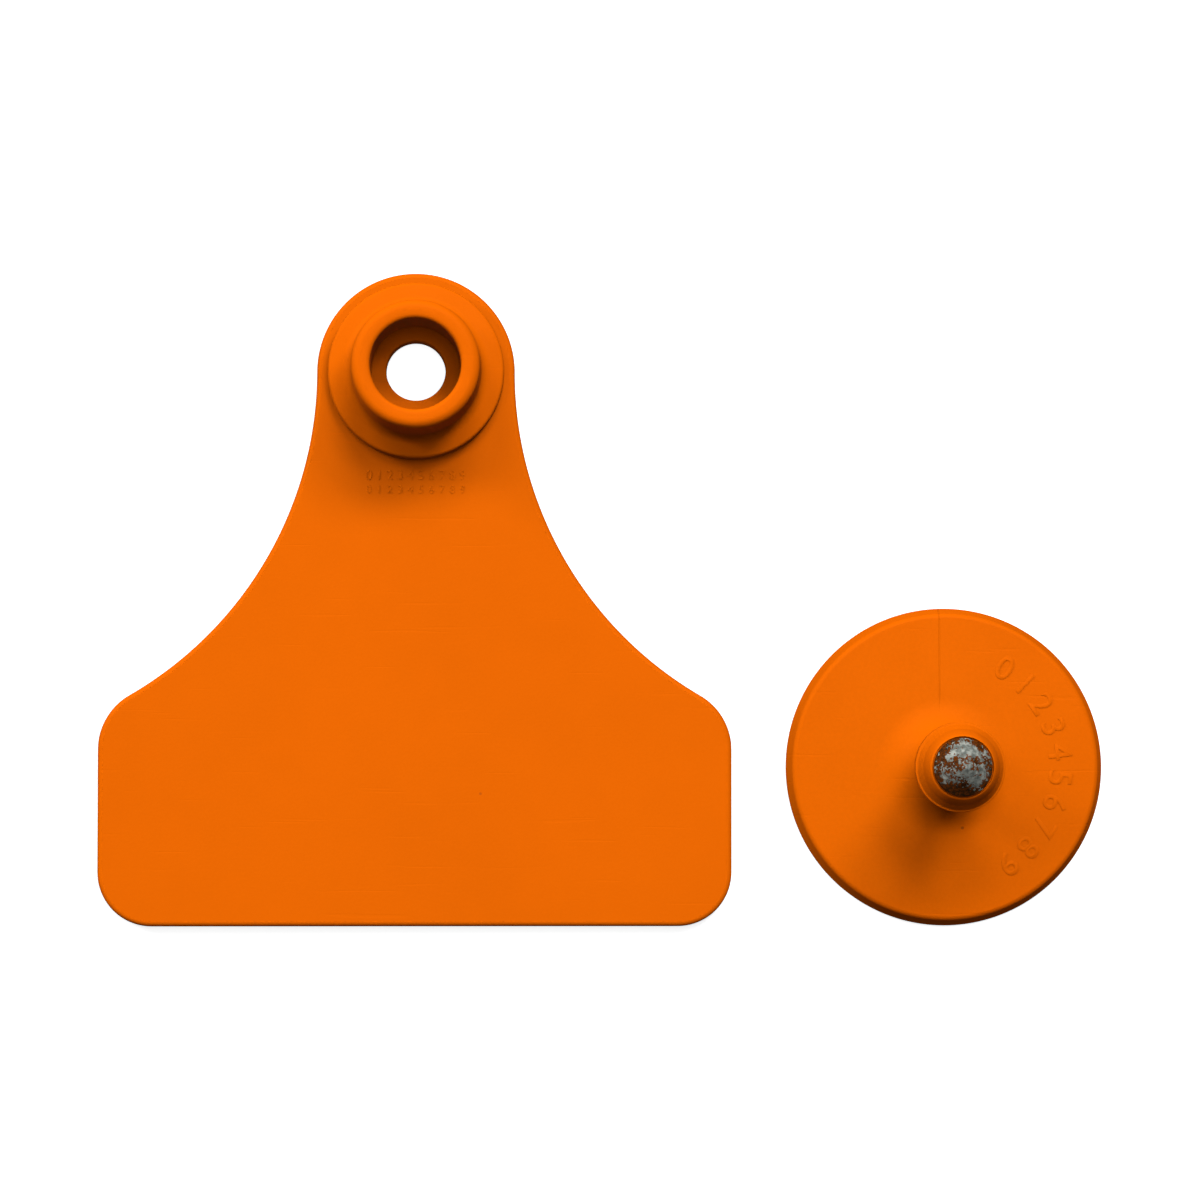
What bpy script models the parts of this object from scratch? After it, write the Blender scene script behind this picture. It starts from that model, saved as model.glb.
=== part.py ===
# A two-piece livestock ear tag, laid flat with its two pieces apart.
# The panel carries the print face, and the hollow socket collar on its lobe.
# The button carries the stud, whose metal point goes through the ear. Its head
# snaps past the ledge in the socket and turns freely in the chamber behind it.
# Metres, +Z up. The origin is on the surface that both pieces lie on, below the
# middle of the pair. +X runs from the panel to the button, +Y to the socket.

import math

import bmesh
import bpy
from mathutils import Matrix

# Panel, seen on its print face
panel_width = 0.0620
panel_side_height = 0.0120
panel_thickness = 0.0020
panel_edge_radius = 0.0004
flare_radius = 0.0367
shoulder_radius = 0.0061
corner_radius = 0.0053

# Socket on the lobe of the panel
ledge_thickness = 0.0030
hole_lead_in = 0.0003
mouth_edge_radius = 0.0003
collar_wall = 0.0018
collar_draft = 0.0002
collar_rim_radius = 0.0008
collar_root_radius = 0.0009
flange_width = 0.0024
flange_height = 0.0018
flange_dish = 0.0003
flange_edge_radius = 0.0003
lobe_margin = 0.0011

# Button disc, with the applicator's pin bore in its back
disc_radius = 0.0156
disc_thickness = 0.0019
disc_front_edge_radius = 0.0003
disc_back_edge_radius = 0.0003
disc_face_angle = math.radians(2.5)
disc_rim_draft = math.radians(23)
pin_bore_wall = 0.00115
pin_bore_lead_in = 0.0004
pin_bore_end = 0.0005
pin_web = 0.0016

# Stud and its head
ear_room = 0.0093
shaft_radius = 0.0027
shaft_root_radius = 0.0042
shaft_neck_radius = 0.0003
head_barb = 0.0016
head_edge_height = 0.0012
head_edge_radius = 0.00012
head_land = 0.00018
head_cone_height = 0.0023
head_cone_spread = 0.00105

# Metal point, with the shank and foot that hold it in the head
tip_height = 0.0023
tip_power = 0.88
tip_skirt = 0.0004
tip_seat_depth = 0.0005
tip_lip = 0.00015
shank_radius = 0.0009
shank_length = 0.0032
shank_foot_radius = 0.0013
shank_foot_height = 0.0008

# Clearances
shaft_clearance = 0.0002
head_clearance = 0.0001
tip_cover = 0.0028
tip_clearance = 0.00015
tip_end_clearance = 0.0003
piece_gap = 0.0054

# Making
overrun = 0.0010
weld_distance = 0.000001
fillet_limit_share = 0.45
turning_steps = 64
lobe_steps = 24
flare_steps = 20
corner_steps = 8
fillet_steps = 4
fine_steps = 2
root_steps = 8
tip_steps = 6
edge_resolution = 2
mouth_open_angle = math.radians(110)
sharp_angle = math.radians(32)
flat_normal_share = 0.999

# The stud, from the shaft outwards and from the disc upwards
pin_bore_radius = shaft_radius - pin_bore_wall
head_radius = shaft_radius + head_barb
cone_foot_radius = head_radius - head_land
cone_top_radius = cone_foot_radius - head_cone_spread
seat_radius = cone_top_radius - tip_lip
tip_radius = seat_radius - tip_clearance
head_level = disc_thickness + ear_room + ledge_thickness
cone_level = head_level + head_edge_height
head_top_level = cone_level + head_cone_height
seat_level = head_top_level - tip_seat_depth
tip_level = seat_level + tip_end_clearance
skirt_level = tip_level + tip_skirt
tip_top_level = skirt_level + tip_height
shank_level = tip_level - shank_length

# The socket that takes the stud, and the panel's outline round it
hole_radius = shaft_radius + shaft_clearance
chamber_radius = head_radius + head_clearance
rim_level = ledge_thickness + tip_top_level - head_level + tip_cover
collar_radius = chamber_radius + collar_wall
flange_radius = collar_radius + flange_width
lobe_radius = flange_radius + lobe_margin
flare_centre_x = lobe_radius + flare_radius
shoulder_x = panel_width / 2 - shoulder_radius
shoulder_reach = flare_radius + shoulder_radius
shoulder_drop = math.sqrt(shoulder_reach**2 - (flare_centre_x - shoulder_x) ** 2)
panel_height = lobe_radius + shoulder_drop + panel_side_height + corner_radius

# Where the two pieces lie
pair_width = panel_width + piece_gap + 2 * disc_radius
panel_place = ((panel_width - pair_width) / 2, panel_height / 2 - lobe_radius, 0)
button_place = (pair_width / 2 - disc_radius, disc_radius - panel_height / 2, 0)

# Colour, roughness and metallic value of each piece
panel_finish = ((0.86, 0.145, 0.003, 1), 0.55, 0)
button_finish = ((0.82, 0.135, 0.003, 1), 0.60, 0)
tip_finish = ((0.30, 0.29, 0.27, 1), 0.50, 1)


def clear_scene():
    for leftover in list(bpy.data.objects):
        bpy.data.objects.remove(leftover)


def new_collection(name):
    collection = bpy.data.collections.new(name)
    bpy.context.scene.collection.children.link(collection)
    return collection


def new_material(name, finish):
    colour, roughness, metallic = finish
    material = bpy.data.materials.new(name)
    material.use_nodes = True
    shader = material.node_tree.nodes["Principled BSDF"]
    shader.inputs["Base Color"].default_value = colour
    shader.inputs["Roughness"].default_value = roughness
    shader.inputs["Metallic"].default_value = metallic
    material.diffuse_color = colour
    return material


def limited(radius, wall):
    # A fillet no larger than its share of the wall it rounds
    return min(radius, wall * fillet_limit_share)


def arc(centre, radius, start, end, steps):
    # Points round a centre, from the start angle to the end angle
    angles = [start + (end - start) * step / steps for step in range(steps + 1)]
    return [
        (centre[0] + radius * math.cos(angle), centre[1] + radius * math.sin(angle))
        for angle in angles
    ]


def shaded(mesh):
    # Smooth round faces, with flat faces and sharp edges kept crisp
    mesh.shade_smooth()
    mesh.set_sharp_from_angle(angle=sharp_angle)
    for face in mesh.polygons:
        if abs(face.normal.z) > flat_normal_share:
            face.use_smooth = False
    return mesh


def baked_mesh(source):
    # The evaluated shape of a curve or a modified object, welded into one mesh
    bpy.context.scene.collection.objects.link(source)
    scene_state = bpy.context.evaluated_depsgraph_get()
    mesh = bpy.data.meshes.new_from_object(source.evaluated_get(scene_state))
    cleaner = bmesh.new()
    cleaner.from_mesh(mesh)
    bmesh.ops.remove_doubles(cleaner, verts=cleaner.verts, dist=weld_distance)
    cleaner.to_mesh(mesh)
    cleaner.free()
    bpy.data.objects.remove(source)
    return mesh


def turned_mesh(profile):
    # A profile of radius and height, top to bottom on its outer side, turned
    # once round the Z axis
    outline = bpy.data.meshes.new("profile")
    points = [(radius, 0, height) for radius, height in profile]
    edges = [(index, index + 1) for index in range(len(points) - 1)]
    outline.from_pydata(points, edges, [])
    blank = bpy.data.objects.new("profile", outline)
    turn = blank.modifiers.new("turn", "SCREW")
    turn.axis = "Z"
    turn.angle = math.tau
    turn.steps = turning_steps
    turn.render_steps = turning_steps
    turn.use_merge_vertices = True
    turn.merge_threshold = weld_distance
    return shaded(baked_mesh(blank))


def panel_outline():
    # The right half from the top of the lobe down to the bottom edge, in arcs
    # that meet smoothly, then the left half as its mirror image
    turn = math.atan2(shoulder_drop, flare_centre_x - shoulder_x)
    flare_centre = (flare_centre_x, 0)
    shoulder_centre = (shoulder_x, -shoulder_drop)
    corner_centre = (panel_width / 2 - corner_radius, -shoulder_drop - panel_side_height)
    quarter = math.pi / 2

    right = arc((0, 0), lobe_radius, quarter, 0, lobe_steps)
    right += arc(flare_centre, flare_radius, math.pi, math.pi + turn, flare_steps)[1:]
    right += arc(shoulder_centre, shoulder_radius, turn, 0, corner_steps)[1:]
    right += arc(corner_centre, corner_radius, 0, -quarter, corner_steps)
    left = [(-x, y) for x, y in reversed(right[1:])]
    return right + left


def panel_sheet():
    # The flat panel with its rounded edge, its back on the ground plane
    edge_radius = limited(panel_edge_radius, panel_thickness)
    curve = bpy.data.curves.new("panel_outline", "CURVE")
    curve.dimensions = "2D"
    curve.fill_mode = "BOTH"
    curve.extrude = panel_thickness / 2 - edge_radius
    curve.bevel_depth = edge_radius
    curve.bevel_resolution = edge_resolution
    curve.offset = -edge_radius
    outline = panel_outline()
    spline = curve.splines.new("POLY")
    spline.points.add(len(outline) - 1)
    for point, (x, y) in zip(spline.points, outline):
        point.co = (x, y, 0, 1)
    spline.use_cyclic_u = True
    mesh = baked_mesh(bpy.data.objects.new("panel_outline", curve))
    mesh.transform(Matrix.Translation((0, 0, panel_thickness / 2)))
    return shaded(mesh)


def socket_profile():
    # Collar and flange as one turned solid, sunk into half of the panel
    flange_level = panel_thickness + flange_height
    dish_level = flange_level + flange_dish
    rim_radius = limited(collar_rim_radius, collar_wall)
    root_radius = limited(collar_root_radius, flange_width)
    edge_radius = limited(flange_edge_radius, flange_height)
    wall_foot = collar_radius + collar_draft
    quarter = math.pi / 2

    rim_centre = (collar_radius - rim_radius, rim_level - rim_radius)
    root_centre = (wall_foot + root_radius, dish_level + root_radius)
    edge_centre = (flange_radius - edge_radius, flange_level - edge_radius)
    profile = [(0, rim_level)]
    profile += arc(rim_centre, rim_radius, quarter, 0, fillet_steps)
    profile += arc(root_centre, root_radius, math.pi, math.pi + quarter, fillet_steps)
    profile += arc(edge_centre, edge_radius, quarter, 0, fine_steps)
    profile += [(flange_radius, panel_thickness / 2), (0, panel_thickness / 2)]
    return profile


def bore_profile():
    # Rounded mouth, chamber for the head, ledge, hole for the shaft, and a
    # lead-in on the back where the head is pushed in
    mouth_radius = limited(mouth_edge_radius, collar_wall)
    mouth_centre = (chamber_radius + mouth_radius, rim_level - mouth_radius)
    mouth = arc(mouth_centre, mouth_radius, mouth_open_angle, math.pi, fine_steps)
    mouth_top = (
        mouth[0][0] + mouth_radius * math.sin(mouth_open_angle),
        mouth[0][1] - mouth_radius * math.cos(mouth_open_angle),
    )
    profile = [(0, rim_level + overrun), (mouth_top[0], rim_level + overrun), mouth_top]
    profile += mouth
    profile += [
        (chamber_radius, ledge_thickness),
        (hole_radius, ledge_thickness),
        (hole_radius, hole_lead_in),
        (hole_radius + hole_lead_in + overrun, -overrun),
        (0, -overrun),
    ]
    return profile


def button_profile():
    # From the bottom of the tip's hole, out over the head, down the shaft and
    # the disc, and in at the back to the end of the pin bore
    quarter = math.pi / 2
    edge_radius = limited(head_edge_radius, head_edge_height)
    front_radius = limited(disc_front_edge_radius, disc_thickness)
    back_radius = limited(disc_back_edge_radius, disc_thickness)
    hole_level = shank_level - tip_end_clearance
    foot_top = shank_level + shank_foot_height + tip_end_clearance
    foot_hole_radius = shank_foot_radius + tip_clearance
    shank_hole_radius = shank_radius + tip_clearance
    bore_level = hole_level - pin_web

    profile = [
        (0, hole_level),
        (foot_hole_radius, hole_level),
        (foot_hole_radius, foot_top),
        (shank_hole_radius, foot_top),
        (shank_hole_radius, seat_level),
        (seat_radius, seat_level),
        (seat_radius, head_top_level),
        (cone_top_radius, head_top_level),
        (cone_foot_radius, cone_level),
    ]
    edge_r = head_radius - edge_radius
    profile += arc((edge_r, cone_level - edge_radius), edge_radius, quarter, 0, fine_steps)
    profile += arc((edge_r, head_level + edge_radius), edge_radius, 0, -quarter, fine_steps)
    neck_centre = (shaft_radius + shaft_neck_radius, head_level - shaft_neck_radius)
    profile += arc(neck_centre, shaft_neck_radius, quarter, math.pi, fine_steps)
    back_centre = (disc_radius - back_radius, back_radius)
    front_centre = rim_front_centre(front_radius, back_centre, back_radius)
    profile += root_arc(front_centre[0])
    profile += arc(front_centre, front_radius, quarter, disc_rim_draft, fillet_steps)
    profile += arc(back_centre, back_radius, disc_rim_draft, -quarter, fillet_steps)
    profile += [
        (pin_bore_radius + pin_bore_lead_in, 0),
        (pin_bore_radius, pin_bore_lead_in),
        (pin_bore_radius, bore_level - pin_bore_end),
        (0, bore_level),
    ]
    return profile


def rim_front_centre(front_radius, back_centre, back_radius):
    # The centre of the front edge's fillet, where the rim's leaning wall is
    # tangent to both fillets
    lean = math.cos(disc_rim_draft)
    rise = math.sin(disc_rim_draft)
    front_z = disc_thickness - front_radius
    wall_reach = lean * back_centre[0] + rise * back_centre[1] + back_radius
    return ((wall_reach - front_radius - rise * front_z) / lean, front_z)


def root_arc(face_start):
    # The flare from the shaft to the shallow cone of the disc's face, tangent
    # to both
    centre_r = shaft_radius + shaft_root_radius
    fall = (face_start - centre_r) * math.sin(disc_face_angle)
    centre_z = disc_thickness + (shaft_root_radius + fall) / math.cos(disc_face_angle)
    end_angle = math.pi * 3 / 2 - disc_face_angle
    return arc((centre_r, centre_z), shaft_root_radius, math.pi, end_angle, root_steps)


def tip_profile():
    # A blunt point above its skirt, then the shank and its foot
    profile = []
    for step in range(tip_steps + 1):
        rise = step / tip_steps
        profile.append((tip_radius * rise**tip_power, skirt_level + tip_height * (1 - rise)))
    foot_top = shank_level + shank_foot_height
    profile += [
        (tip_radius, tip_level),
        (shank_radius, tip_level),
        (shank_radius, foot_top),
        (shank_foot_radius, foot_top),
        (shank_foot_radius, shank_level),
        (0, shank_level),
    ]
    return profile


def add_piece(name, mesh, place, finish, collection):
    mesh.name = name
    mesh.materials.append(new_material(name, finish))
    piece = bpy.data.objects.new(name, mesh)
    piece.location = place
    collection.objects.link(piece)
    return piece


def add_tool(name, mesh, carrier, collection):
    # A solid that joins or cuts its carrier, placed in the carrier's own frame
    mesh.name = name
    tool = bpy.data.objects.new(name, mesh)
    tool.parent = carrier
    tool.display_type = "WIRE"
    tool.hide_render = True
    collection.objects.link(tool)
    return tool


def combine(piece, tool, operation):
    step = piece.modifiers.new(tool.name, "BOOLEAN")
    step.operation = operation
    step.solver = "EXACT"
    step.object = tool


def build_panel(pieces, tools):
    panel = add_piece("tag_panel", panel_sheet(), panel_place, panel_finish, pieces)
    socket = add_tool("socket_body", turned_mesh(socket_profile()), panel, tools)
    bore = add_tool("socket_bore", turned_mesh(bore_profile()), panel, tools)
    combine(panel, socket, "UNION")
    combine(panel, bore, "DIFFERENCE")


def build_button(pieces):
    button_mesh = turned_mesh(button_profile())
    button = add_piece("button_stud", button_mesh, button_place, button_finish, pieces)
    tip = add_piece("metal_tip", turned_mesh(tip_profile()), (0, 0, 0), tip_finish, pieces)
    tip.parent = button


clear_scene()
pieces = new_collection("livestock_ear_tag")
tools = new_collection("cutters")
build_panel(pieces, tools)
build_button(pieces)
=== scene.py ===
# A livestock ear tag in two pieces, laid flat and apart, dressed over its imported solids.
# Metres, in the frame of the solids: +Z up, +Y from the middle of the tag to its socket.

import math

import bmesh
import bpy
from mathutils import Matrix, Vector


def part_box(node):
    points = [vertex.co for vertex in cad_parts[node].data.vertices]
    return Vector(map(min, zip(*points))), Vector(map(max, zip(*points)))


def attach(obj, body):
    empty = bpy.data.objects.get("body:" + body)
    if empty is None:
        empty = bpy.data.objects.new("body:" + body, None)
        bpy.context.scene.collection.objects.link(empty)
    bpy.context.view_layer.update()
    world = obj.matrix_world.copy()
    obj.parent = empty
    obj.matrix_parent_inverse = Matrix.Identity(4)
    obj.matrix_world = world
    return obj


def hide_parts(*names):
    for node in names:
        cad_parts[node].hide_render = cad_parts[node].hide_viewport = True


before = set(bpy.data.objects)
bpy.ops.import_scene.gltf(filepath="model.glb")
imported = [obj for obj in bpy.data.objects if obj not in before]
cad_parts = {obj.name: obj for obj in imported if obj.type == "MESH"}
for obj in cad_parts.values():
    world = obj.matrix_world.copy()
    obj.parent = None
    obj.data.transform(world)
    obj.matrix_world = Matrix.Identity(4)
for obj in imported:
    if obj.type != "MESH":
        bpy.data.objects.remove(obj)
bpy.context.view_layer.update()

panelLow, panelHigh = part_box("tag_panel")
studLow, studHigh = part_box("button_stud")

weld = 0.000001    # what counts as the same place
near = 0.00001     # how close a vertex has to be to get picked
seedSize = 0.001   # the plane that a profile starts from, merged into one vertex at once


# selecting and shaping, as in edit mode

def dropSelection():
    if bpy.context.object and bpy.context.object.mode != "OBJECT":
        bpy.ops.object.mode_set(mode="OBJECT")
    bpy.ops.object.select_all(action="DESELECT")


def editNew(name):
    # the primitive that was just added, renamed and opened in edit mode
    piece = bpy.context.object
    piece.name = name
    piece.data.name = name
    bpy.ops.object.mode_set(mode="EDIT")
    bpy.ops.mesh.select_mode(type="VERT")
    return piece


def pick(piece, wanted, kind="VERT"):
    # selects only the vertices or edges that the test says yes to
    bpy.ops.mesh.select_mode(type=kind)
    bpy.ops.mesh.select_all(action="DESELECT")
    mesh = bmesh.from_edit_mesh(piece.data)
    parts = {"VERT": mesh.verts, "EDGE": mesh.edges}[kind]
    for part in [part for part in parts if wanted(part)]:
        part.select_set(True)
    bmesh.update_edit_mesh(piece.data)


def extrude(stride):
    # the selection carried on by a stride, which stays selected
    bpy.ops.mesh.extrude_region_move(TRANSFORM_OT_translate={"value": stride})


def spin(steps, angle, centre=(0, 0, 0), closed=False):
    # the selection carried round a centre; with no window, a positive angle runs clockwise
    bpy.ops.mesh.spin(steps=steps, angle=angle, center=centre, axis=(0, 0, 1), use_auto_merge=closed)


def tidyShell():
    # doubles merged first, then every face turned outwards
    bpy.ops.mesh.select_all(action="SELECT")
    bpy.ops.mesh.remove_doubles(threshold=weld)
    bpy.ops.mesh.normals_make_consistent(inside=False)
    bpy.ops.mesh.select_all(action="DESELECT")


def tidyWhole():
    # the same for the active piece, from object mode and back
    bpy.ops.object.mode_set(mode="EDIT")
    tidyShell()
    bpy.ops.object.mode_set(mode="OBJECT")


def drawProfile(name, corners):
    # one vertex, extruded from corner to corner, then each corner rounded
    # a corner is (radius, height), or (radius, height, setback, segments) if it is rounded
    dropSelection()
    bpy.ops.mesh.primitive_plane_add(size=seedSize, location=(0, 0, 0))
    piece = editNew(name)
    bpy.ops.mesh.select_all(action="SELECT")
    bpy.ops.mesh.merge(type="CENTER")
    bpy.ops.transform.translate(value=(corners[0][0], 0, corners[0][1]))
    for here, there in zip(corners, corners[1:]):
        extrude((there[0] - here[0], 0, there[1] - here[1]))
    for corner in corners:
        if len(corner) == 4:
            radius, height, setback, segments = corner
            pick(piece, lambda v: math.dist((v.co.x, v.co.z), (radius, height)) < near)
            bpy.ops.mesh.bevel(offset=setback, segments=segments, affect="VERTICES")
    return piece


def turnProfile(piece, steps):
    # spun once round Z into a closed shell
    bpy.ops.mesh.select_all(action="SELECT")
    spin(steps, math.tau, closed=True)
    tidyShell()
    bpy.ops.object.mode_set(mode="OBJECT")
    return piece


def applyModifier(piece, kind, **settings):
    dropSelection()
    piece.select_set(True)
    bpy.context.view_layer.objects.active = piece
    step = piece.modifiers.new(kind.lower(), kind)
    for name, value in settings.items():
        setattr(step, name, value)
    bpy.ops.object.modifier_apply(modifier=step.name)


def combine(piece, tool, operation):
    # joins or cuts with the tool, which isn't needed afterwards, and merges what meets
    applyModifier(piece, "BOOLEAN", operation=operation, solver="EXACT", object=tool)
    bpy.data.objects.remove(tool)
    tidyWhole()


def settle(piece, place, smoothAngle):
    # puts the place in the mesh, and shades round faces smooth and flat ones flat
    dropSelection()
    piece.select_set(True)
    bpy.context.view_layer.objects.active = piece
    piece.location = place
    bpy.ops.object.transform_apply(location=True, rotation=True, scale=True)
    bpy.ops.object.shade_smooth_by_angle(angle=smoothAngle)
    applyModifier(piece, "WEIGHTED_NORMAL", keep_sharp=True)


def dress(piece, finish, slotName, *nodes):
    piece.data.materials.clear()
    piece.data.materials.append(finish)
    # no piece tints another's shade, which keeps the hue of the lit faces
    piece.visible_diffuse = False
    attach(piece, "root")
    if nodes:
        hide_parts(*nodes)


# shader maths as plain expressions

noiseMiddle = 0.5    # what a noise varies about


class Wire:
    # a socket of a shader tree; sums on it add Math nodes
    def __init__(self, tree, socket):
        self.tree = tree
        self.socket = socket

    def node(self, kind, settings=None, values=None, output=0):
        made = self.tree.nodes.new(kind)
        for name, value in (settings or {}).items():
            setattr(made, name, value)
        for name, value in (values or {}).items():
            plug(self.tree, value, made.inputs[name])
        return Wire(self.tree, made.outputs[output])

    def maths(self, operation, first, second):
        return self.node("ShaderNodeMath", {"operation": operation}, {0: first, 1: second})

    def __add__(self, other):
        return self.maths("ADD", self, other)

    def __radd__(self, other):
        return self.maths("ADD", other, self)

    def __sub__(self, other):
        return self.maths("SUBTRACT", self, other)

    def __rsub__(self, other):
        return self.maths("SUBTRACT", other, self)

    def __mul__(self, other):
        return self.maths("MULTIPLY", self, other)

    def __rmul__(self, other):
        return self.maths("MULTIPLY", other, self)

    def noise(self, scale, detail, roughness):
        # 0 to 1, in features per metre of these coordinates
        values = {"Vector": self, "Scale": scale, "Detail": detail, "Roughness": roughness}
        return self.node("ShaderNodeTexNoise", None, values)

    def cells(self, scale):
        # the distance to the nearest of points strewn over these coordinates
        return self.node("ShaderNodeTexVoronoi", None, {"Vector": self, "Scale": scale})

    def placed(self, centre=(0, 0, 0), turned=(0, 0, 0), stretched=(1, 1, 1)):
        # coordinates measured from a centre, then turned and stretched
        moved = self.node("ShaderNodeVectorMath", {"operation": "SUBTRACT"}, {0: self, 1: centre})
        values = {"Vector": moved, "Rotation": turned, "Scale": stretched}
        return moved.node("ShaderNodeMapping", None, values)

    def axis(self, index):
        return self.node("ShaderNodeSeparateXYZ", None, {0: self}, index)

    def length(self):
        return self.node("ShaderNodeVectorMath", {"operation": "LENGTH"}, {0: self}, 1)

    def ramp(self, low, high, fromLevel=0.0, toLevel=1.0):
        # an eased step, which also runs downwards
        values = {0: self, 1: low, 2: high, 3: fromLevel, 4: toLevel}
        return self.node("ShaderNodeMapRange", {"interpolation_type": "SMOOTHSTEP"}, values)

    def blend(self, first, second):
        # a colour mix with this socket as its factor
        return self.node("ShaderNodeMix", {"data_type": "RGBA"}, {0: self, 6: first, 7: second}, 2)

    def bump(self, strength, depth):
        # a normal from this socket as the height
        values = {"Strength": strength, "Distance": depth, "Height": self}
        return self.node("ShaderNodeBump", None, values)


def plug(tree, value, socket):
    if isinstance(value, Wire):
        tree.links.new(value.socket, socket)
    else:
        socket.default_value = value


def startFinish(name, previewColour, constants):
    # a material with its fixed shader values, its shader, and the wire of Object coordinates
    finish = bpy.data.materials.new(name)
    finish.use_nodes = True
    finish.diffuse_color = previewColour
    tree = finish.node_tree
    shader = tree.nodes["Principled BSDF"]
    for socketName, value in constants.items():
        shader.inputs[socketName].default_value = value
    coordinates = tree.nodes.new("ShaderNodeTexCoord")
    return finish, shader, Wire(tree, coordinates.outputs["Object"])


def toned(colour, share):
    # the same hue, lighter or darker
    return tuple(min(1.0, part * share) for part in colour[:3]) + (1.0,)


# the panel with its socket

socketShape = {
    "rimLevel": panelHigh.z,
    "rimRound": (0.0008, 8),         # each rounding is a setback and its segments
    "collarRadius": 0.0062,
    "collarFootRadius": 0.0064,      # the collar leans inwards for the mould
    "collarRootRound": (0.0009, 8),
    "flangeInnerLevel": 0.0041,      # the flange's face falls a little outwards
    "flangeOuterLevel": 0.0038,
    "flangeRadius": 0.0086,
    "flangeEdgeRound": (0.0003, 5),
    "creaseLevel": 0.00212,          # where the flange runs out on the sheet
    "creaseRound": (0.00009, 3),
    "creaseReach": 0.00009,
    "creaseDepth": 0.00005,
    "sunkLevel": 0.0010,             # half way down in the sheet
    "turnSteps": 160,
}

boreShape = {
    "overrun": 0.0010,
    "topRadius": 0.0062,
    "mouthTopRadius": 0.00485,
    "mouthTopRise": 0.00001,
    "mouthDepth": 0.00012,
    "mouthRound": (0.0003, 6),
    "chamberRadius": 0.0044,
    "ledgeLevel": 0.0030,
    "ledgeRound": (0.00015, 3),
    "holeRadius": 0.0029,
    "leadIn": 0.0003,
    "turnSteps": 160,
}

panelShape = {
    "halfWidth": (panelHigh.x - panelLow.x) / 2,
    "height": panelHigh.y - panelLow.y,
    "thickness": 0.0020,
    "lobeRadius": 0.0097,
    "lobeSegments": 288,
    "flareRadius": 0.0367,
    "flareSteps": 48,
    "shoulderRadius": 0.0061,
    "shoulderSteps": 20,
    "cornerRadius": 0.0053,
    "cornerSteps": 20,
    "frontEdgeRound": (0.00048, 5),
    "backEdgeRound": (0.0004, 4),
    "smoothAngle": math.radians(40),
}

socketPlace = ((panelLow.x + panelHigh.x) / 2, panelHigh.y - panelShape["lobeRadius"], 0)


def socketCorners(shape):
    # collar and flange, top to bottom, down into the sheet
    flange = shape["flangeRadius"]
    return [
        (0, shape["rimLevel"]),
        (shape["collarRadius"], shape["rimLevel"], *shape["rimRound"]),
        (shape["collarFootRadius"], shape["flangeInnerLevel"], *shape["collarRootRound"]),
        (flange, shape["flangeOuterLevel"], *shape["flangeEdgeRound"]),
        (flange, shape["creaseLevel"], *shape["creaseRound"]),
        (flange + shape["creaseReach"], panelShape["thickness"] - shape["creaseDepth"]),
        (flange, shape["sunkLevel"]),
        (0, shape["sunkLevel"]),
    ]


def boreCorners(shape, rimLevel):
    # the tool that cuts the mouth, the head's chamber and the stud's hole
    chamber, hole, ledge = shape["chamberRadius"], shape["holeRadius"], shape["ledgeLevel"]
    leadIn, overrun = shape["leadIn"], shape["overrun"]
    return [
        (0, rimLevel + overrun),
        (shape["topRadius"], rimLevel + overrun),
        (shape["mouthTopRadius"], rimLevel + shape["mouthTopRise"]),
        (chamber, rimLevel - shape["mouthDepth"], *shape["mouthRound"]),
        (chamber, ledge, *shape["ledgeRound"]),
        (hole, ledge, *shape["ledgeRound"]),
        (hole, leadIn),
        (hole + leadIn, 0),
        (hole + leadIn + overrun, -overrun),
        (0, -overrun),
    ]


def panelOutline(shape):
    # the right half: a quarter of the lobe, then its end vertex spun round each centre
    flareX = shape["lobeRadius"] + shape["flareRadius"]
    shoulderX = shape["halfWidth"] - shape["shoulderRadius"]
    reach = shape["flareRadius"] + shape["shoulderRadius"]
    shoulderY = -math.sqrt(reach ** 2 - (flareX - shoulderX) ** 2)
    cornerX = shape["halfWidth"] - shape["cornerRadius"]
    cornerY = shape["lobeRadius"] - shape["height"] + shape["cornerRadius"]
    turn = math.atan2(-shoulderY, flareX - shoulderX)
    dropSelection()
    bpy.ops.mesh.primitive_circle_add(vertices=shape["lobeSegments"], radius=shape["lobeRadius"])
    piece = editNew("panel_moulding")
    pick(piece, lambda v: v.co.x < -near or v.co.y < -near)
    bpy.ops.mesh.delete(type="VERT")
    pick(piece, lambda v: abs(v.co.y) < near)
    spin(shape["flareSteps"], -turn, (flareX, 0, 0))
    spin(shape["shoulderSteps"], turn, (shoulderX, shoulderY, 0))
    extrude((0, cornerY - shoulderY, 0))
    spin(shape["cornerSteps"], math.pi / 2, (cornerX, cornerY, 0))
    extrude((-cornerX, 0, 0))
    bpy.ops.object.mode_set(mode="OBJECT")
    applyModifier(piece, "MIRROR", use_axis=(True, False, False), merge_threshold=near)
    return piece


def panelSheet(shape):
    # the outline filled, given its thickness, and its two edges rounded
    piece = panelOutline(shape)
    top = shape["thickness"]
    frontSetback, frontSegments = shape["frontEdgeRound"]
    backSetback, backSegments = shape["backEdgeRound"]
    bpy.ops.object.mode_set(mode="EDIT")
    bpy.ops.mesh.select_mode(type="EDGE")
    bpy.ops.mesh.select_all(action="SELECT")
    bpy.ops.mesh.edge_face_add()
    extrude((0, 0, top))
    tidyShell()
    pick(piece, lambda e: all(v.co.z > top - near for v in e.verts), "EDGE")
    bpy.ops.mesh.bevel(offset=frontSetback, segments=frontSegments, affect="EDGES")
    pick(piece, lambda e: all(v.co.z < near for v in e.verts), "EDGE")
    bpy.ops.mesh.bevel(offset=backSetback, segments=backSegments, affect="EDGES")
    bpy.ops.object.mode_set(mode="OBJECT")
    return piece


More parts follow.
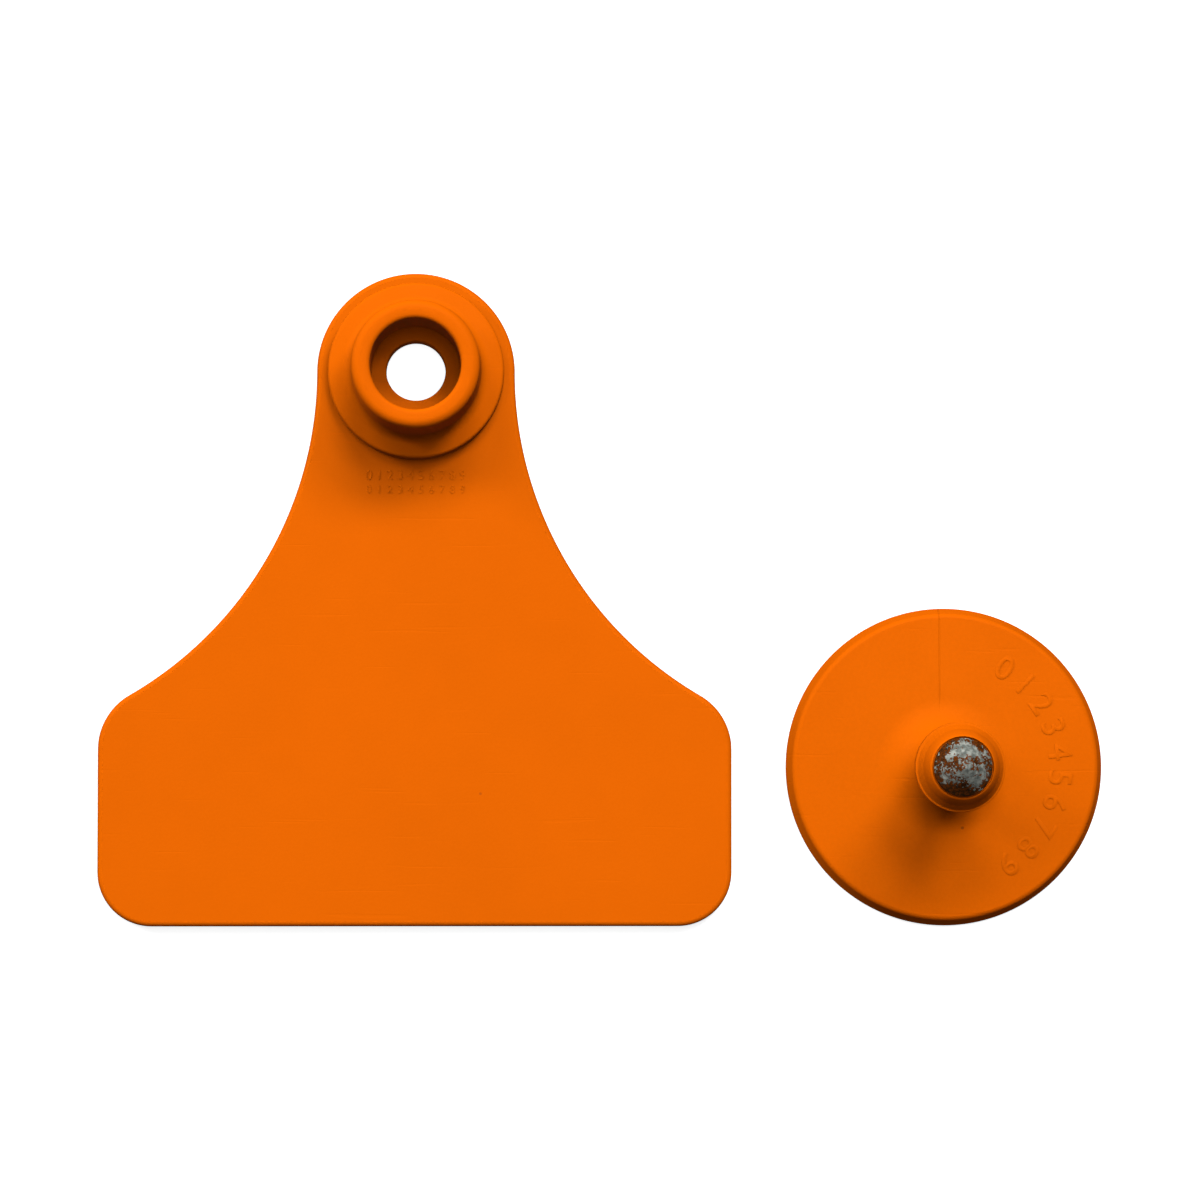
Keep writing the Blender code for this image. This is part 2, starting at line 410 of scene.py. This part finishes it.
panel = panelSheet(panelShape)
socket = turnProfile(drawProfile("socket", socketCorners(socketShape)), socketShape["turnSteps"])
combine(panel, socket, "UNION")
bore = drawProfile("bore", boreCorners(boreShape, socketShape["rimLevel"]))
bore = turnProfile(bore, boreShape["turnSteps"])
combine(panel, bore, "DIFFERENCE")
settle(panel, socketPlace, panelShape["smoothAngle"])
print("panel:", len(panel.data.polygons), "faces")


# the button with its stud

buttonShape = {
    "topLevel": studHigh.z,
    "seatRadius": 0.00294,           # the hollows that hold the tip
    "seatLevel": 0.0172,
    "lipRadius": 0.00310,
    "lipLevel": 0.01751,
    "lipRound": (0.00003, 2),
    "shankHoleRadius": 0.00105,
    "footHoleRadius": 0.00145,
    "footHoleLevel": 0.0140,
    "coneFootRadius": 0.00412,       # the head
    "coneTopRadius": 0.00307,
    "coneFootLevel": 0.0154,
    "coneFootRound": (0.00005, 3),
    "headRadius": 0.00430,
    "headLevel": 0.0142,
    "headTopRound": (0.00012, 5),
    "headFootRound": (0.00012, 4),
    "grooveLevels": (0.01640, 0.01615, 0.01590, 0.01565),
    "grooveHeight": 0.00010,
    "grooveDepth": 0.00002,
    "shaftRadius": 0.0027,           # the shaft, and its root on the disc
    "neckRound": (0.0003, 4),
    "rootLevel": 0.002426,
    "rootRound": (0.00402, 28),
    "rimTopRadius": 0.014945,        # the disc, whose rim leans inwards
    "rimTopLevel": 0.00189,
    "rimTopRound": (0.00034, 9),
    "rimFootRadius": 0.015740,
    "rimFootRound": (0.00045, 9),
    "pinBoreRadius": 0.00155,        # the applicator's bore in the back
    "pinLeadIn": 0.0004,
    "pinLeadInRound": (0.0001, 2),
    "pinBoreLevel": 0.0119,
    "pinBoreEnd": 0.0124,
    "turnSteps": 192,
    "smoothAngle": math.radians(28),
}


def tipHollowCorners(shape):
    # the hollows for the tip, from the middle outwards to the chamfered lip
    foot, shank, seat = shape["footHoleRadius"], shape["shankHoleRadius"], shape["seatRadius"]
    return [
        (0, shape["footHoleLevel"]),
        (foot, shape["footHoleLevel"]),
        (foot, shape["coneFootLevel"]),
        (shank, shape["coneFootLevel"]),
        (shank, shape["seatLevel"]),
        (seat, shape["seatLevel"]),
        (seat, shape["topLevel"], *shape["lipRound"]),
        (shape["lipRadius"], shape["lipLevel"], *shape["lipRound"]),
    ]


def turningGrooves(shape):
    # fine grooves that the mould's cutter left round the cone, top to bottom
    rise = shape["topLevel"] - shape["coneFootLevel"]
    spread = (shape["coneFootRadius"] - shape["coneTopRadius"]) / rise
    corners = []
    section = ((0, 0), (0.5, shape["grooveDepth"]), (1, 0))    # share of its height, and depth there
    for level in shape["grooveLevels"]:
        for down, depth in section:
            height = level - down * shape["grooveHeight"]
            radius = shape["coneFootRadius"] - (height - shape["coneFootLevel"]) * spread
            corners.append((radius - depth, height))
    return corners


def studCorners(shape):
    # from the foot of the head's cone down the shaft and the disc, and in at the back
    head, shaft, pin = shape["headRadius"], shape["shaftRadius"], shape["pinBoreRadius"]
    return [
        (shape["coneFootRadius"], shape["coneFootLevel"], *shape["coneFootRound"]),
        (head, shape["coneFootLevel"], *shape["headTopRound"]),
        (head, shape["headLevel"], *shape["headFootRound"]),
        (shaft, shape["headLevel"], *shape["neckRound"]),
        (shaft, shape["rootLevel"], *shape["rootRound"]),
        (shape["rimTopRadius"], shape["rimTopLevel"], *shape["rimTopRound"]),
        (shape["rimFootRadius"], 0, *shape["rimFootRound"]),
        (pin + shape["pinLeadIn"], 0, *shape["pinLeadInRound"]),
        (pin, shape["pinLeadIn"]),
        (pin, shape["pinBoreLevel"]),
        (0, shape["pinBoreEnd"]),
    ]


buttonPlace = ((studLow.x + studHigh.x) / 2, (studLow.y + studHigh.y) / 2, 0)

buttonCorners = tipHollowCorners(buttonShape) + turningGrooves(buttonShape) + studCorners(buttonShape)
button = turnProfile(drawProfile("button_moulding", buttonCorners), buttonShape["turnSteps"])
settle(button, buttonPlace, buttonShape["smoothAngle"])
print("button:", len(button.data.polygons), "faces")


# the cast point

pointShape = {
    "radius": 0.00277,
    "skirtLevel": 0.0179,
    "skirtFootLevel": 0.0175,
    "skirtFootRound": (0.00008, 2),
    "height": 0.0023,
    "power": 0.88,
    "rows": 22,
    "shankRadius": 0.0009,
    "footRadius": 0.0013,
    "footTopLevel": 0.0151,
    "footLevel": 0.0143,
    "pitSize": 0.0004,
    "pitOctaves": 3,
    "pitDepth": 0.00007,
    "pitMiddle": 0.8,                # most of the casting lies deeper than its highest spots
    "pitFade": 0.0003,
    "turnSteps": 128,
    "splits": 1,                     # each face cut in four once, for the pits
    "smoothAngle": math.radians(50),
}


def pointCorners(shape):
    # a blunt cone with slightly full flanks, its skirt, and the shank and foot inside the head
    corners = []
    for row in range(shape["rows"] + 1):
        fall = row / shape["rows"]
        level = shape["skirtLevel"] + shape["height"] * (1 - fall)
        corners.append((shape["radius"] * fall ** shape["power"], level))
    return corners + [
        (shape["radius"], shape["skirtFootLevel"], *shape["skirtFootRound"]),
        (shape["shankRadius"], shape["skirtFootLevel"]),
        (shape["shankRadius"], shape["footTopLevel"]),
        (shape["footRadius"], shape["footTopLevel"]),
        (shape["footRadius"], shape["footLevel"]),
        (0, shape["footLevel"]),
    ]


def roughCast(piece, shape):
    # pits in the casting, only on what stands out of the seat
    group = piece.vertex_groups.new(name="cast")
    for vertex in piece.data.vertices:
        out = (vertex.co.z - shape["skirtLevel"]) / shape["pitFade"]
        group.add([vertex.index], max(0.0, min(1.0, out)), "REPLACE")
    pits = bpy.data.textures.new("pits", "CLOUDS")
    pits.noise_scale = shape["pitSize"]
    pits.noise_depth = shape["pitOctaves"]
    depth, middle = shape["pitDepth"], shape["pitMiddle"]
    applyModifier(piece, "DISPLACE", texture=pits, strength=depth, mid_level=middle, vertex_group="cast")
    bpy.data.textures.remove(pits)


point = turnProfile(drawProfile("cast_point", pointCorners(pointShape)), pointShape["turnSteps"])
splits = pointShape["splits"]
applyModifier(point, "SUBSURF", subdivision_type="SIMPLE", levels=splits, render_levels=splits)
roughCast(point, pointShape)
settle(point, buttonPlace, pointShape["smoothAngle"])
print("point:", len(point.data.polygons), "faces")


# raised digits

digitShape = {
    "signs": "0123456789",
    "roundSteps": 1,
    "smoothAngle": math.radians(35),
}

buttonDigits = {
    "radius": 0.0112,                # middle of the digits, from the stud's axis
    "firstAngle": math.radians(59),
    "lastAngle": math.radians(-57),
    "size": 0.0033,
    "strokeOffset": 0.0,
    "halfHeight": 0.00008,
    "round": 0.00004,
    "faceAngle": math.radians(2.5),
    "faceLevel": 0.00204,            # height of the disc's face under the middle of the digits
}

panelDigits = {
    "rows": ((-0.0102, 0.00135), (-0.0116, 0.0011)),     # place below the socket, and size
    "pitch": 0.00102,
    "strokeOffset": -0.00003,        # thinner strokes
    "halfHeight": 0.00005,
    "round": 0.000025,
}


def raisedSign(sign, size, look):
    # one sign as a closed mesh, its middle at the origin, ready to be placed
    dropSelection()
    bpy.ops.object.text_add(location=(0, 0, 0))
    text = bpy.context.object.data
    text.body = sign
    text.align_x = "CENTER"
    text.align_y = "CENTER"
    text.size = size
    text.offset = look["strokeOffset"]
    text.extrude = look["halfHeight"] - look["round"]
    text.bevel_depth = look["round"]
    text.bevel_resolution = digitShape["roundSteps"]
    bpy.ops.object.convert(target="MESH")
    tidyWhole()
    return bpy.context.object


def placeSign(part, place, turned=(0, 0, 0)):
    part.location = place
    part.rotation_euler = turned
    bpy.ops.object.transform_apply(location=True, rotation=True, scale=True)
    return part


def joinAll(name, parts):
    dropSelection()
    for part in parts:
        part.select_set(True)
    bpy.context.view_layer.objects.active = parts[0]
    bpy.ops.object.join()
    piece = bpy.context.object
    piece.name = name
    piece.data.name = name
    bpy.ops.object.shade_smooth_by_angle(angle=digitShape["smoothAngle"])
    return piece


def digitRing(look, centre):
    # read clockwise, tops outwards, each digit lying on the sloping face
    parts = []
    signs = digitShape["signs"]
    step = (look["lastAngle"] - look["firstAngle"]) / (len(signs) - 1)
    for index, sign in enumerate(signs):
        angle = look["firstAngle"] + step * index
        across = look["radius"] * math.cos(angle)
        up = look["radius"] * math.sin(angle)
        place = (centre[0] + across, centre[1] + up, look["faceLevel"])
        turned = (-look["faceAngle"], 0, angle - math.pi / 2)
        parts.append(placeSign(raisedSign(sign, look["size"], look), place, turned))
    return joinAll("button_digits", parts)


def digitRows(look, centre):
    parts = []
    signs = digitShape["signs"]
    for down, size in look["rows"]:
        for index, sign in enumerate(signs):
            across = (index - (len(signs) - 1) / 2) * look["pitch"]
            place = (centre[0] + across, centre[1] + down, panelShape["thickness"])
            parts.append(placeSign(raisedSign(sign, size, look), place))
    return joinAll("panel_digits", parts)


ring = digitRing(buttonDigits, buttonPlace)
rows = digitRows(panelDigits, socketPlace)
print("digits:", len(ring.data.polygons) + len(rows.data.polygons), "faces")


# moulded plastic

panelLook = {
    "colour": (0.82, 0.137, 0.0002, 1.0),
    "centre": socketPlace,
    "specular": 0.015,
    "roughness": 0.58,
    "cloudGloss": 0.16,
    "grainGloss": 0.10,
    "scuffGloss": 0.08,
    "broadNoise": (38.0, 2.0, 0.5),       # a noise is its scale, detail and roughness
    "broadShare": 0.45,                   # a deeper tone where the resin flowed slowly
    "cloudNoise": (240.0, 3.0, 0.5),
    "cloudShare": 0.25,
    "flowRange": (0.3, 0.7),
    "grainNoise": (3600.0, 2.0, 0.6),
    "grainShare": 0.30,
    "grainRange": (0.2, 0.8),
    "deepTone": 0.93,
    "scuffTurn": (0, 0, 0.5),             # faint scuffs, long and all one way
    "scuffStretch": (1, 26, 1),
    "scuffNoise": (90.0, 2.0, 0.5),
    "scuffRange": (0.64, 0.74),
    "scuffTone": 1.12,
    "scuffShow": 0.10,
    "speckScale": 160.0,                  # single specks of dirt, in some places only
    "speckRange": (0.02, 0.035),
    "speckColour": (0.20, 0.045, 0.008, 1.0),
    "speckShow": 0.35,
    "dirtNoise": (87.4, 2.0, 0.5),
    "dirtRange": (0.5, 0.62),
    "grainHeight": 0.6,
    "cloudHeight": 0.5,
    "scuffHeight": 0.5,
    "speckHeight": 0.4,
    "bumpStrength": 0.25,
    "bumpDepth": 0.00005,
}

buttonLook = panelLook | {
    "centre": buttonPlace,
    "grainNoise": (3000.0, 2.0, 0.6),
    "grainShare": 0.45,
    "deepTone": 0.91,
    "speckShow": 0.55,
    "bumpStrength": 0.4,
}

weldLook = {
    "across": -0.0006,               # a fine groove where the resin met behind the stud
    "start": 0.005,
    "fade": 0.002,
    "halfWidth": 0.00011,
    "wander": 0.0006,
    "depth": 4.0,
    "tone": 0.5,
    "show": 0.15,
}


def weldLine(centred, broad, look):
    # 1 on the line, which wanders a little
    across = centred.axis(0) - look["across"] + (broad - noiseMiddle) * look["wander"]
    begun = centred.axis(1).ramp(look["start"], look["start"] + look["fade"])
    return (across * across).ramp(0.0, look["halfWidth"] ** 2, 1.0, 0.0) * begun


def mouldedPlastic(name, look, weldSeen=None):
    finish, shader, place = startFinish(name, look["colour"], {
        "Metallic": 0.0,
        "Specular IOR Level": look["specular"],
        "IOR": 1.5,
    })
    centred = place.placed(look["centre"])
    broad = centred.noise(*look["broadNoise"])
    cloud = centred.noise(*look["cloudNoise"])
    grain = centred.noise(*look["grainNoise"])
    along = place.placed(look["centre"], look["scuffTurn"], look["scuffStretch"])
    scuff = along.noise(*look["scuffNoise"]).ramp(*look["scuffRange"])
    dirty = centred.noise(*look["dirtNoise"]).ramp(*look["dirtRange"])
    speck = (1 - centred.cells(look["speckScale"]).ramp(*look["speckRange"])) * dirty

    tone = broad.ramp(*look["flowRange"], 0.0, look["broadShare"])
    tone = tone + cloud.ramp(*look["flowRange"], 0.0, look["cloudShare"])
    tone = tone + grain.ramp(*look["grainRange"], 0.0, look["grainShare"])
    colour = tone.blend(look["colour"], toned(look["colour"], look["deepTone"]))
    colour = (scuff * look["scuffShow"]).blend(colour, toned(look["colour"], look["scuffTone"]))
    colour = (speck * look["speckShow"]).blend(colour, look["speckColour"])
    height = grain * look["grainHeight"] + cloud * look["cloudHeight"]
    height = height - scuff * look["scuffHeight"] - speck * look["speckHeight"]
    if weldSeen:
        line = weldLine(centred, broad, weldSeen)
        colour = (line * weldSeen["show"]).blend(colour, toned(look["colour"], weldSeen["tone"]))
        height = height - line * weldSeen["depth"]
    gloss = look["roughness"] - scuff * look["scuffGloss"]
    gloss = gloss + (cloud - noiseMiddle) * look["cloudGloss"]
    gloss = gloss + (grain - noiseMiddle) * look["grainGloss"]

    plug(place.tree, colour, shader.inputs["Base Color"])
    plug(place.tree, gloss, shader.inputs["Roughness"])
    plug(place.tree, height.bump(look["bumpStrength"], look["bumpDepth"]), shader.inputs["Normal"])
    return finish


# cast metal with rust on it, and painted shade in rust brown on the side turned from the lamps

metalLook = {
    "bright": (0.46, 0.48, 0.43, 1.0),
    "dull": (0.17, 0.185, 0.165, 1.0),
    "rustAndShade": (0.15, 0.033, 0.0005, 1.0),
    "burnt": (0.028, 0.009, 0.0005, 1.0),
    "specular": 0.12,
    "metallic": 0.55,
    "roughness": 0.6,
    "mottleGloss": 0.3,
    "rustGloss": 0.3,
    "mottleNoise": (1900.0, 3.0, 0.6),
    "mottleRange": (0.35, 0.68),
    "fleckNoise": (3600.0, 2.0, 0.7),
    "fleckRange": (0.4, 0.7),
    "patchNoise": (560.0, 2.0, 0.5),
    "fleckShare": 0.75,              # how much each adds to the rust
    "patchShare": 0.8,
    "shadeLeanShare": -22.0,              # painted shade: more rust brown towards -X and -Y, the side turned from the lamps, per metre
    "skirtRange": (0.0016, 0.0027),
    "skirtShare": 0.14,
    "rustRange": (0.79, 0.84),
    "mottleHeight": 0.7,
    "fleckHeight": 0.5,
    "rustHeight": 0.3,
    "bumpStrength": 0.6,
    "bumpDepth": 0.00006,
}


def castMetal(name, look, centre):
    finish, shader, place = startFinish(name, look["dull"], {"Specular IOR Level": look["specular"]})
    centred = place.placed(centre)
    mottle = centred.noise(*look["mottleNoise"])
    fleck = centred.noise(*look["fleckNoise"])
    patch = centred.noise(*look["patchNoise"])
    outwards = centred.placed(stretched=(1, 1, 0)).length()

    rustAndShadeLevel = fleck * look["fleckShare"] + patch * look["patchShare"]
    # painted shade: the rust brown grows towards -X and -Y, away from the lamps
    rustAndShadeLevel = rustAndShadeLevel + (centred.axis(0) + centred.axis(1)) * look["shadeLeanShare"]
    rustAndShadeLevel = rustAndShadeLevel + outwards.ramp(*look["skirtRange"], 0.0, look["skirtShare"])
    rustAndShade = rustAndShadeLevel.ramp(*look["rustRange"])
    grey = mottle.ramp(*look["mottleRange"]).blend(look["dull"], look["bright"])
    brown = fleck.ramp(*look["fleckRange"]).blend(look["burnt"], look["rustAndShade"])
    gloss = look["roughness"] + rustAndShade * look["rustGloss"] + (mottle - noiseMiddle) * look["mottleGloss"]
    height = mottle * look["mottleHeight"] + fleck * look["fleckHeight"] - rustAndShade * look["rustHeight"]

    plug(place.tree, rustAndShade.blend(grey, brown), shader.inputs["Base Color"])
    plug(place.tree, look["metallic"] * (1 - rustAndShade), shader.inputs["Metallic"])
    plug(place.tree, gloss, shader.inputs["Roughness"])
    plug(place.tree, height.bump(look["bumpStrength"], look["bumpDepth"]), shader.inputs["Normal"])
    return finish


panelPlastic = mouldedPlastic("panelPlastic", panelLook)
buttonPlastic = mouldedPlastic("buttonPlastic", buttonLook, weldLook)
pointMetal = castMetal("pointMetal", metalLook, buttonPlace)

dress(panel, panelPlastic, "panel_plastic", "tag_panel")
dress(rows, panelPlastic, "panel_plastic")
dress(button, buttonPlastic, "button_plastic", "button_stud")
dress(ring, buttonPlastic, "button_plastic")
dress(point, pointMetal, "tip_metal", "metal_tip")
print("finishes: three")


# floor, lights and camera

stageLook = {
    "floorSize": 3.0,
    "floorColour": (0.82, 0.82, 0.82, 1.0),
    "floorRoughness": 0.9,
    "floorSpecular": 0.1,
    "floorGlow": 0.80,
    "holePaintedLight": 0.90,                # painted light: the floor glows brighter under the stud's hole, where the socket shades it
    "holePaintedLightRange": (0.00288, 0.0032),
    "worldStrength": 0.052,
}

lampSet = (
    # name, azimuth from +X, elevation, distance, width, watts
    ("keyLamp", 59.0, 46.0, 0.9, 0.24, 2.65),
    ("highLamp", 61.0, 64.0, 0.9, 0.20, 1.4),
    ("backLamp", 84.0, 51.0, 0.9, 0.28, 2.8),
    ("topLamp", 90.0, 82.0, 0.9, 0.20, 0.95),
    ("sideLamp", 120.0, 51.0, 0.9, 0.24, 1.45),
    ("lowLamp", 151.0, 18.0, 0.9, 0.26, 3.4),
)

cameraLook = {
    "place": (-0.01442, -0.01517, 0.4496),
    "tilt": (0.0337, -0.0317, 0.0005),    # radians away from straight down
    "lens": 137.1,
    "sensor": 36.0,
    "clipStart": 0.01,
    "clipEnd": 10.0,
}


def paleFloor(look):
    dropSelection()
    bpy.ops.mesh.primitive_plane_add(size=look["floorSize"], location=(0, 0, 0))
    floor = bpy.context.object
    floor.name = "floor"
    finish, shader, place = startFinish("palePaper", look["floorColour"], {
        "Base Color": look["floorColour"],
        "Roughness": look["floorRoughness"],
        "Specular IOR Level": look["floorSpecular"],
        "Emission Strength": 1.0,
    })
    fromHole = place.placed(socketPlace).length()
    # painted light: a brighter pool of glow on the floor under the socket's hole, even glow elsewhere
    glowAndHoleLight = fromHole.ramp(*look["holePaintedLightRange"], look["holePaintedLight"], look["floorGlow"])
    tint = glowAndHoleLight.node("ShaderNodeCombineColor", None, {0: glowAndHoleLight, 1: glowAndHoleLight, 2: glowAndHoleLight})
    plug(place.tree, tint, shader.inputs["Emission Color"])
    floor.data.materials.append(finish)
    # the paper throws no light back, so that the shaded sides stay deep
    floor.visible_diffuse = False
    floor.visible_glossy = False


def addLamp(name, azimuth, elevation, distance, width, watts):
    across = math.cos(math.radians(elevation)) * distance
    place = (
        across * math.cos(math.radians(azimuth)),
        across * math.sin(math.radians(azimuth)),
        math.sin(math.radians(elevation)) * distance,
    )
    bpy.ops.object.light_add(type="AREA", location=place)
    lamp = bpy.context.object
    lamp.name = name
    lamp.data.shape = "DISK"
    lamp.data.size = width
    lamp.data.energy = watts
    # turned from straight down until it faces the origin
    lamp.rotation_euler = (0, math.radians(90 - elevation), math.radians(azimuth))


def addCamera(look):
    bpy.ops.object.camera_add(location=look["place"], rotation=look["tilt"])
    camera = bpy.context.object
    camera.name = "photoCamera"
    camera.data.sensor_width = look["sensor"]
    camera.data.lens = look["lens"]
    camera.data.clip_start = look["clipStart"]
    camera.data.clip_end = look["clipEnd"]
    bpy.context.scene.camera = camera


def addWorld(strength):
    studio = bpy.data.worlds.new("studio")
    studio.use_nodes = True
    background = studio.node_tree.nodes["Background"]
    background.inputs["Color"].default_value = (1, 1, 1, 1)
    background.inputs["Strength"].default_value = strength
    bpy.context.scene.world = studio


paleFloor(stageLook)
for lampLine in lampSet:
    addLamp(*lampLine)
addCamera(cameraLook)
addWorld(stageLook["worldStrength"])
bpy.context.scene.view_settings.view_transform = "Standard"
bpy.context.scene.view_settings.look = "None"
dropSelection()
print("stage: floor,", len(lampSet), "lamps and camera")
